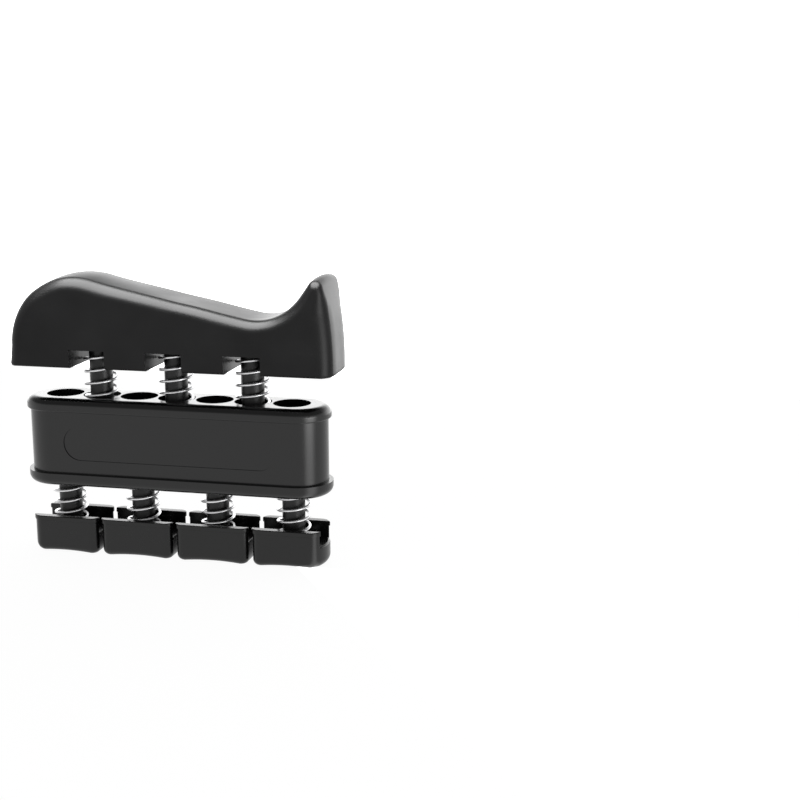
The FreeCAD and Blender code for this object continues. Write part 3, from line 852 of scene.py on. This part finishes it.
def build_floor():
    """A white glowing floor that ends a little way behind the object."""
    mesh = bpy.data.meshes.new("floor")
    left, right, front, back = -FLOOR_REACH, FLOOR_REACH, -FLOOR_REACH, FLOOR_BACK
    corners = [(left, front, 0), (right, front, 0), (right, back, 0), (left, back, 0)]
    mesh.from_pydata(corners, [], [(0, 1, 2, 3)])
    material, nodes, links, shader = new_material("floor_white")
    coordinate = nodes.new("ShaderNodeTexCoord")
    paper = noise(nodes, links, coordinate, scale=30.0, detail=4.0, rough=0.5)
    tone = mix_colour(nodes, links, paper, (FLOOR_TONE,) * 3, (FLOOR_TONE + FLOOR_PAPER,) * 3)
    links.new(tone, shader.inputs["Base Color"])
    shader.inputs["Roughness"].default_value = 0.8
    shader.inputs["Specular IOR Level"].default_value = 0.0
    shader.inputs["Emission Color"].default_value = (1.0, 1.0, 1.0, 1.0)
    # the glow carries a painted pool of light at the front right
    links.new(painted_light_pool(nodes, links, coordinate), shader.inputs["Emission Strength"])
    mesh.materials.append(material)
    floor = bpy.data.objects.new("floor", mesh)
    bpy.context.scene.collection.objects.link(floor)


def build_world():
    """A white studio: brightest low down behind the object, pale along the horizon, dim above."""
    world = bpy.data.worlds.new("studio")
    bpy.context.scene.world = world
    world.use_nodes = True
    nodes, links = world.node_tree.nodes, world.node_tree.links
    coordinate = nodes.new("ShaderNodeTexCoord")
    split = nodes.new("ShaderNodeSeparateXYZ")
    links.new(coordinate.outputs["Generated"], split.inputs["Vector"])
    behind = spread(nodes, links, split.outputs["Y"], 0.0, 1.0, *WORLD_BEHIND)
    low_down = spread(nodes, links, split.outputs["Z"], 1.0, 0.0, *WORLD_LOW)
    both = calculate(nodes, links, "MULTIPLY", behind, low_down)
    around = spread(nodes, links, split.outputs["Z"], WORLD_PALE, WORLD_DIM, *WORLD_HORIZON)
    strength = calculate(nodes, links, "MULTIPLY_ADD", both, WORLD_BRIGHT - WORLD_PALE, around)
    background = nodes["Background"]
    links.new(strength, background.inputs["Strength"])
    background.inputs["Color"].default_value = (1.0, 1.0, 1.0, 1.0)


def light_palm_rest():
    """A large softbox over the front that lights only the palm rest."""
    lift = math.radians(SOFTBOX_ELEVATION)
    where = SOFTBOX_AIM + SOFTBOX_DISTANCE * Vector((0, -math.cos(lift), math.sin(lift)))
    data = bpy.data.lights.new("front_softbox", "AREA")
    data.shape = "RECTANGLE"
    data.size = SOFTBOX_WIDTH
    data.size_y = SOFTBOX_DEPTH
    data.energy = SOFTBOX_RADIANCE * math.pi * SOFTBOX_WIDTH * SOFTBOX_DEPTH
    lamp = bpy.data.objects.new("front_softbox", data)
    lamp.location = where
    lamp.rotation_mode = "QUATERNION"
    lamp.rotation_quaternion = (SOFTBOX_AIM - where).to_track_quat("-Z", "Y")
    bpy.context.scene.collection.objects.link(lamp)
    lit = bpy.data.collections.new("lit_by_front_softbox")
    lit.objects.link(bpy.data.objects["palm_rest_moulding"])
    lamp.light_linking.receiver_collection = lit


# ---------------------------------------------------------------- everything, in order
bpy.context.scene.view_settings.view_transform = "Standard"
build_camera()
build_floor()
build_world()
build_palm_rest()
light_palm_rest()
for joint in frame["record"]["behaviour"]["joints"]:
    for row in joint["deforming_nodes"]:
        build_spring(row["node"])
for finger in FINGERS:
    build_button(finger)
dress_nodes()
